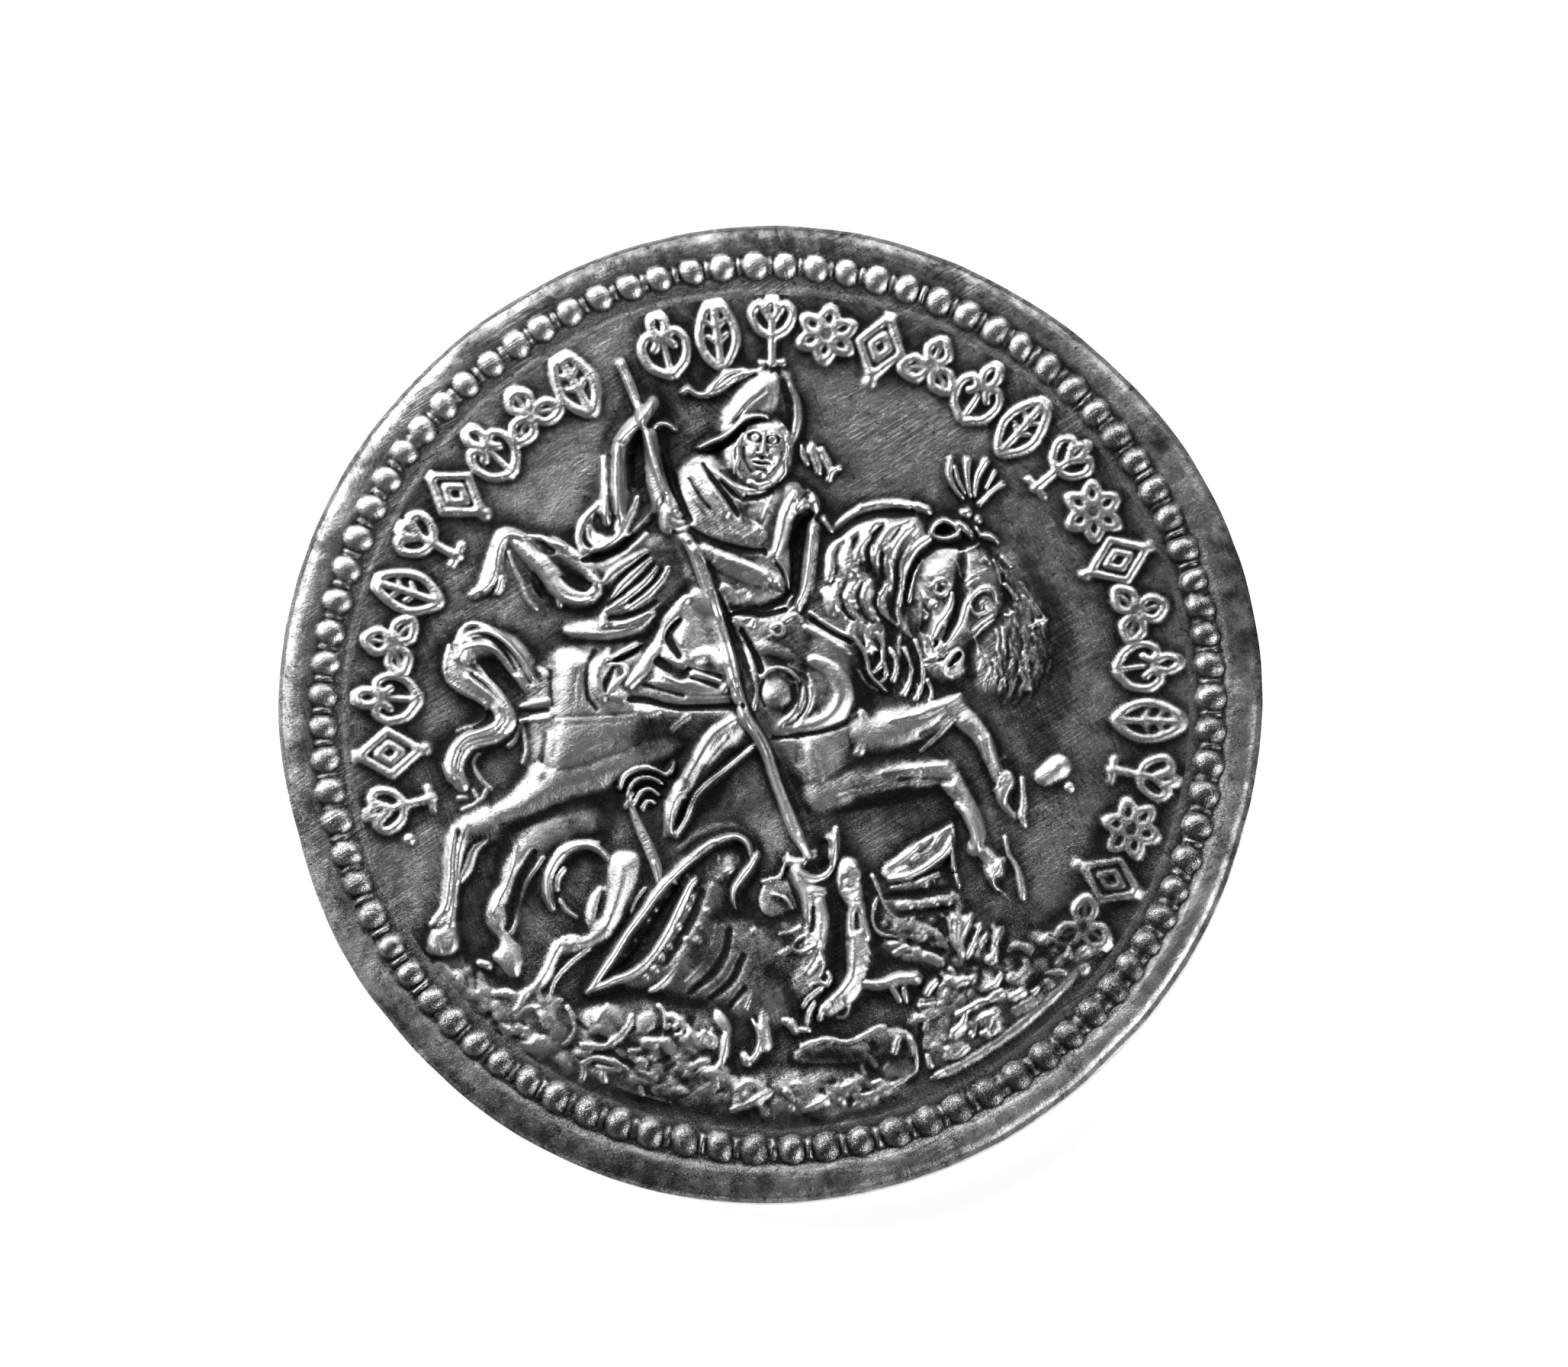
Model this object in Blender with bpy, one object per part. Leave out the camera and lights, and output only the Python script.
"""Medal with a pressed relief: five separate pieces, stacked along +Z.

  obverse_shell   pressed sheet: relief, bead ring, plain border, rounded edge, skirt
  relief_filler   cement cast behind the relief
  core_disc       stiffening disc
  reverse_shell   shallow cup with a flat rest rim, a wreath and a rosette
  rim_solder      ring that closes the seam under the skirt

Frame: metres, origin at the middle of the flat rest rim, +Z up through the obverse.
The lengths below are in millimetres and are scaled once, when a mesh is made.
"""

import math

import bmesh
import bpy
import numpy as np
from mathutils import Vector
from mathutils.geometry import delaunay_2d_cdt

for old in list(bpy.data.objects):
    bpy.data.objects.remove(old, do_unlink=True)

MM = 0.001

# ---------------------------------------------------------------- sizes, mm
R_OUT = 21.0          # outline radius of the medal
R_SKIRT_IN = 20.52    # inner radius of the obverse skirt
Z_SKIRT = 0.66        # lower edge of the skirt
Z_FIELD = 2.00        # obverse field
SHEET = 0.45          # sheet thickness of the obverse
BEADS = 87            # beads in the ring
R_BEAD = 18.98        # radius of the bead ring
BEAD_H = 0.50         # bead height over the moat
R_CORE = 19.88        # core disc and filler radius
GAP = 0.05            # assembly gap between neighbours
SEG = 2 * BEADS       # segments round every turned edge

# ------------------------------------------------------- drafting sheet
# The relief is drafted on a sheet with its own units, y down:
# SHEET_UNITS to the millimetre, with the medal's centre at SHEET_MID.
SHEET_UNITS = 30.7
SHEET_MID = (1005.0, 927.0)


def to_mm(x, y):
    return (x - SHEET_MID[0]) / SHEET_UNITS, (SHEET_MID[1] - y) / SHEET_UNITS


# Each stroke is a chain of (x, y, half width) on the sheet, with one height in mm.
HORSE = [
    (0.50, [(690, 985, 62), (770, 950, 88), (870, 955, 82), (980, 955, 78), (1060, 945, 88)]),
    (0.48, [(1072, 930, 72), (1092, 830, 74), (1122, 745, 70), (1180, 705, 44)]),
    (0.55, [(1195, 715, 38), (1236, 765, 42), (1222, 850, 26)]),
    (0.28, [(1285, 790, 40), (1300, 865, 42), (1328, 900, 28)]),
    (0.40, [(690, 1060, 40), (610, 1085, 26), (592, 1130, 18), (590, 1185, 14), (583, 1240, 22)]),
    (0.30, [(760, 1070, 34), (690, 1105, 26), (662, 1160, 18), (650, 1200, 17), (665, 1258, 26)]),
    (0.38, [(1130, 965, 34), (1190, 950, 30), (1262, 925, 22), (1298, 985, 17), (1328, 1055, 24)]),
    (0.42, [(1080, 1035, 36), (1160, 1020, 26), (1242, 1014, 22), (1272, 1090, 18), (1312, 1155, 24)]),
    (0.38, [(700, 860, 26), (645, 835, 26), (604, 862, 26), (640, 905, 22), (660, 945, 18),
            (612, 978, 18), (600, 1030, 16)]),
]
RIDER = [
    (0.72, [(935, 645, 46), (985, 700, 50), (950, 770, 46)]),
    (0.78, [(992, 560, 42), (1003, 600, 38)]),
    (0.40, [(880, 515, 14), (930, 512, 16), (985, 492, 16), (1022, 500, 14)]),
    (0.62, [(845, 548, 24), (812, 600, 28), (800, 680, 36), (870, 705, 40)]),
    (0.42, [(640, 765, 20), (660, 712, 24), (722, 742, 32), (772, 785, 34), (840, 760, 42)]),
    (0.75, [(905, 790, 22), (872, 862, 36), (925, 885, 40), (1005, 905, 34)]),
    (0.66, [(950, 958, 26), (906, 1020, 22), (882, 1088, 22)]),
    (0.72, [(900, 710, 16), (1000, 746, 20), (1032, 702, 22), (1050, 655, 24)]),
    (0.62, [(1076, 870, 32), (1080, 925, 26), (1030, 952, 18)]),
]
LANCE = [
    (0.62, [(820, 492, 9), (850, 576, 10), (900, 700, 12), (953, 850, 12), (1000, 978, 12), (1058, 1112, 12)]),
]
DRAGON = [
    (0.50, [(818, 1125, 26), (802, 1190, 24), (772, 1232, 17), (700, 1292, 14)]),
    (0.40, [(790, 1115, 9), (745, 1115, 9), (722, 1150, 9), (722, 1185, 8)]),
    (0.40, [(822, 1045, 12), (845, 1090, 12), (864, 1150, 12)]),
    (0.55, [(782, 1296, 10), (862, 1161, 12), (949, 1096, 13), (986, 1112, 12), (962, 1180, 10)]),
    (0.34, [(850, 1270, 40), (920, 1215, 62), (985, 1250, 60), (1045, 1270, 50)]),
    (0.52, [(1010, 1360, 14), (1062, 1240, 40), (1085, 1180, 26), (1048, 1140, 20)]),
    (0.50, [(1060, 1165, 22), (1112, 1150, 24), (1118, 1235, 24), (1100, 1310, 24), (1070, 1325, 18)]),
    (0.36, [(1130, 1285, 16), (1200, 1285, 18), (1240, 1310, 12)]),
    (0.32, [(1045, 1370, 12), (1115, 1366, 12), (1160, 1350, 14), (1192, 1375, 18), (1170, 1410, 16)]),
]
GROUND = [
    (0.22, [(560, 1270, 20), (620, 1310, 30), (700, 1370, 34), (800, 1390, 38), (900, 1380, 40),
            (960, 1430, 34), (1080, 1440, 30), (1180, 1430, 26)]),
    (0.30, [(1160, 1170, 30), (1220, 1190, 44), (1270, 1230, 50), (1330, 1270, 44), (1400, 1230, 40)]),
    (0.24, [(1215, 1350, 26), (1290, 1310, 34), (1370, 1260, 34), (1430, 1200, 30)]),
    (0.30, [(1160, 1140, 10), (1205, 1125, 18), (1245, 1095, 12)]),
    (0.26, [(1362, 1020, 16), (1392, 1004, 16)]),
]
ALL_STROKES = GROUND + HORSE + DRAGON + RIDER + LANCE


def capsule(px, py, chain):
    """Normalised distance to a tapered chain: 0 on its middle line, 1 on its edge."""
    best = np.full(px.shape, 9.0)
    for (ax, ay, ar), (bx, by, br) in zip(chain[:-1], chain[1:]):
        dx, dy = bx - ax, by - ay
        span = dx * dx + dy * dy
        t = np.clip(((px - ax) * dx + (py - ay) * dy) / span, 0.0, 1.0)
        gap = np.hypot(px - (ax + t * dx), py - (ay + t * dy))
        best = np.minimum(best, gap / (ar + t * (br - ar)))
    return best


def relief(x, y):
    """Height of the coarse relief over the field at points in mm."""
    px = x * SHEET_UNITS + SHEET_MID[0]
    py = SHEET_MID[1] - y * SHEET_UNITS
    out = np.zeros(px.shape)
    for height, chain in ALL_STROKES:
        d = capsule(px, py, chain)
        out = np.maximum(out, height * np.sqrt(np.clip(1.0 - d * d, 0.0, 1.0)))
    return out


def dished(x, y):
    """Underside of the obverse sheet: a soft dome follows the bigger masses."""
    soft = np.zeros(x.shape)
    total = 0.0
    for ring, weight in ((0.0, 1.0), (0.8, 1.0), (1.6, 0.7)):
        for k in range(6 if ring else 1):
            a = math.radians(60 * k + 20 * ring)
            soft += weight * relief(x + ring * math.cos(a), y + ring * math.sin(a))
            total += weight
    fade = np.clip((17.2 - np.hypot(x, y)) / 1.6, 0.0, 1.0)
    return Z_FIELD - SHEET + 0.55 * fade * soft / total


# ------------------------------------------------------------- mesh helpers
def circle(radius):
    return [(radius * math.cos(2 * math.pi * k / SEG), radius * math.sin(2 * math.pi * k / SEG))
            for k in range(SEG)]


def disc_points(radius, pitch):
    """Edge loop of SEG points first, then a hexagonal grid inside it."""
    pts = circle(radius)
    row = pitch * math.sqrt(3) / 2
    n = int(radius / row) + 1
    for j in range(-n, n + 1):
        for i in range(-n - 1, n + 2):
            x = (i + 0.5 * (j % 2)) * pitch
            y = j * row
            if math.hypot(x, y) < radius - 0.45 * pitch:
                pts.append((x, y))
    return pts


def triangulate(pts):
    verts, _, faces, orig, _, _ = delaunay_2d_cdt([Vector(p) for p in pts], [], [], 0, 1e-7)
    back = [ids[0] for ids in orig]
    tris = []
    for f in faces:
        a, b, c = (back[i] for i in f)
        (ax, ay), (bx, by), (cx, cy) = pts[a], pts[b], pts[c]
        if (bx - ax) * (cy - ay) - (by - ay) * (cx - ax) < 0:
            b, c = c, b
        tris.append((a, b, c))
    return tris


class Body:
    """Collects the points and faces of one closed piece, in mm."""

    def __init__(self):
        self.v, self.f = [], []

    def disc(self, pts, heights, up):
        base = len(self.v)
        self.v += [(x, y, z) for (x, y), z in zip(pts, heights)]
        for a, b, c in triangulate(pts):
            self.f.append((base + a, base + b, base + c) if up else (base + a, base + c, base + b))
        return list(range(base, base + SEG))

    def ring(self, radius, height):
        base = len(self.v)
        hs = height if hasattr(height, "__len__") else [height] * SEG
        self.v += [(x, y, z) for (x, y), z in zip(circle(radius), hs)]
        return list(range(base, base + SEG))

    def band(self, inner, outer):
        """Faces from one loop to the next: the normal points up when outer is the wider loop."""
        for k in range(SEG):
            m = (k + 1) % SEG
            self.f.append((inner[k], outer[k], outer[m], inner[m]))

    def chain(self, loops):
        for a, b in zip(loops[:-1], loops[1:]):
            self.band(a, b)

    def build(self, name, material):
        mesh = bpy.data.meshes.new(name)
        mesh.from_pydata([(x * MM, y * MM, z * MM) for x, y, z in self.v], [], self.f)
        mesh.validate()
        mesh.update()
        obj = bpy.data.objects.new(name, mesh)
        bpy.context.scene.collection.objects.link(obj)
        mesh.materials.append(material)
        mesh.shade_smooth()
        mesh.set_sharp_from_angle(angle=math.radians(38))
        return obj


def material(name, colour, rough, metallic):
    m = bpy.data.materials.new(name)
    m.use_nodes = True
    b = m.node_tree.nodes["Principled BSDF"]
    b.inputs["Base Color"].default_value = (*colour, 1.0)
    b.inputs["Roughness"].default_value = rough
    b.inputs["Metallic"].default_value = metallic
    return m


SILVER = material("aged_silver", (0.50, 0.50, 0.50), 0.32, 1.0)
SILVER_BACK = material("aged_silver_back", (0.42, 0.42, 0.42), 0.38, 1.0)
CEMENT = material("cement", (0.10, 0.075, 0.06), 0.85, 0.0)
BASE_METAL = material("base_metal", (0.55, 0.50, 0.42), 0.45, 1.0)
SOLDER = material("solder", (0.60, 0.60, 0.61), 0.40, 1.0)

# ------------------------------------------------------------ obverse_shell
R_RELIEF = 18.22
shell = Body()
top = disc_points(R_RELIEF, 0.70)
tx = np.array([p[0] for p in top])
ty = np.array([p[1] for p in top])
fade = np.clip((R_RELIEF - 0.2 - np.hypot(tx, ty)) / 0.5, 0.0, 1.0)
edge = shell.disc(top, Z_FIELD + fade * relief(tx, ty), True)

# Beads: every second segment carries a crown, the ones between stay low.
crown = [Z_FIELD + BEAD_H if k % 2 == 0 else Z_FIELD + 0.10 for k in range(SEG)]
shoulder = [Z_FIELD + 0.62 * BEAD_H if k % 2 == 0 else Z_FIELD + 0.04 for k in range(SEG)]
loops = [
    edge,
    shell.ring(R_BEAD - 0.42, shoulder),
    shell.ring(R_BEAD, crown),
    shell.ring(R_BEAD + 0.40, shoulder),
    shell.ring(19.68, Z_FIELD + 0.12),
    shell.ring(20.30, Z_FIELD + 0.16),
    shell.ring(20.74, Z_FIELD + 0.02),
    shell.ring(20.95, Z_FIELD - 0.28),
    shell.ring(R_OUT, Z_FIELD - 0.62),
    shell.ring(R_OUT, Z_SKIRT + 0.10),
    shell.ring(R_OUT - 0.08, Z_SKIRT),
    shell.ring(R_SKIRT_IN, Z_SKIRT),
    shell.ring(R_SKIRT_IN, Z_FIELD - SHEET - 0.02),
]
shell.chain(loops)
under = disc_points(R_CORE, 1.35)
ux = np.array([p[0] for p in under])
uy = np.array([p[1] for p in under])
dish = dished(ux, uy)
under_edge = shell.disc(under, dish, False)
shell.band(loops[-1], under_edge)
shell.build("obverse_shell", SILVER)

# ------------------------------------------------------------ relief_filler
filler = Body()
Z_FILL = 1.22
f_top = filler.disc(under, dish - GAP, True)
f_low = filler.disc(under[:SEG], [Z_FILL] * SEG, False)
filler.band(f_top, f_low)
filler.build("relief_filler", CEMENT)

# ---------------------------------------------------------------- core_disc
core = Body()
Z_CORE_LOW, Z_CORE_TOP = 0.56, 1.16
c_top = core.disc(circle(R_CORE - 0.10), [Z_CORE_TOP] * SEG, True)
c_a = core.ring(R_CORE, Z_CORE_TOP - 0.10)
c_b = core.ring(R_CORE, Z_CORE_LOW + 0.10)
c_low = core.disc(circle(R_CORE - 0.10), [Z_CORE_LOW] * SEG, False)
core.chain([c_top, c_a, c_b, c_low])
core.build("core_disc", BASE_METAL)

# ------------------------------------------------------------ reverse_shell
R_REST_IN, R_REST_OUT = 19.20, 20.50   # flat rim the medal rests on, at z = 0
Z_BACK_FIELD = 0.16                    # recessed reverse field
LEAVES = 18


def back_relief(x, y):
    """Wreath of leaves and an eight-petal rosette, as heights off the reverse field."""
    r = np.hypot(x, y)
    a = np.arctan2(y, x)
    out = np.zeros(r.shape)
    for side in (-1, 1):
        for k in range(LEAVES):
            c = math.radians(-78 + 156 * k / (LEAVES - 1))
            cx = side * (15.2 + 0.7 * (k % 2)) * math.cos(c)
            cy = (15.2 + 0.7 * (k % 2)) * math.sin(c)
            u, v = x - cx, y - cy
            t = (c if side > 0 else math.pi - c) + side * (math.pi / 2 - 0.5 + (k % 2))
            p = u * math.cos(t) + v * math.sin(t)
            q = -u * math.sin(t) + v * math.cos(t)
            d = (p / 1.7) ** 2 + (q / 0.75) ** 2
            out = np.maximum(out, 0.12 * np.sqrt(np.clip(1 - d, 0, 1)))
    petal = 4.2 + 2.6 * np.cos(4 * a) ** 2
    out = np.maximum(out, 0.13 * np.sqrt(np.clip(1 - (r / petal) ** 2, 0, 1)))
    out = np.maximum(out, 0.10 * np.clip(1 - np.abs(r - 9.4) / 0.8, 0, 1))
    return out


back = Body()
low = disc_points(R_REST_IN - 0.30, 0.95)
lx = np.array([p[0] for p in low])
ly = np.array([p[1] for p in low])
b_edge = back.disc(low, Z_BACK_FIELD - back_relief(lx, ly), False)
Z_BACK_IN = 0.50
b_loops = [
    b_edge,
    back.ring(R_REST_IN, 0.0),
    back.ring(R_REST_OUT, 0.0),
    back.ring(20.78, 0.09),
    back.ring(20.88, 0.26),
    back.ring(20.80, 0.45),
    back.ring(20.42, 0.45),
    back.ring(20.42, 1.30),
    back.ring(20.02, 1.30),
    back.ring(20.02, Z_BACK_IN),
]
for a, b in zip(b_loops[:-1], b_loops[1:]):
    back.band(b, a)
b_in = back.disc(circle(20.02 - 0.02), [Z_BACK_IN - 0.001] * SEG, True)
back.band(b_in, b_loops[-1])
back.build("reverse_shell", SILVER_BACK)

# --------------------------------------------------------------- rim_solder
bead = Body()
s = [
    bead.ring(20.50, 0.50),
    bead.ring(20.84, 0.50),
    bead.ring(20.93, 0.545),
    bead.ring(20.93, 0.58),
    bead.ring(20.86, 0.615),
    bead.ring(20.50, 0.615),
]
for a, b in zip(s, s[1:] + s[:1]):
    bead.band(b, a)
bead.build("rim_solder", SOLDER)

for obj in bpy.data.objects:
    bm = bmesh.new()
    bm.from_mesh(obj.data)
    bm.normal_update()
    if bm.calc_volume(signed=True) < 0:
        bmesh.ops.reverse_faces(bm, faces=bm.faces)
    bm.to_mesh(obj.data)
    bm.free()
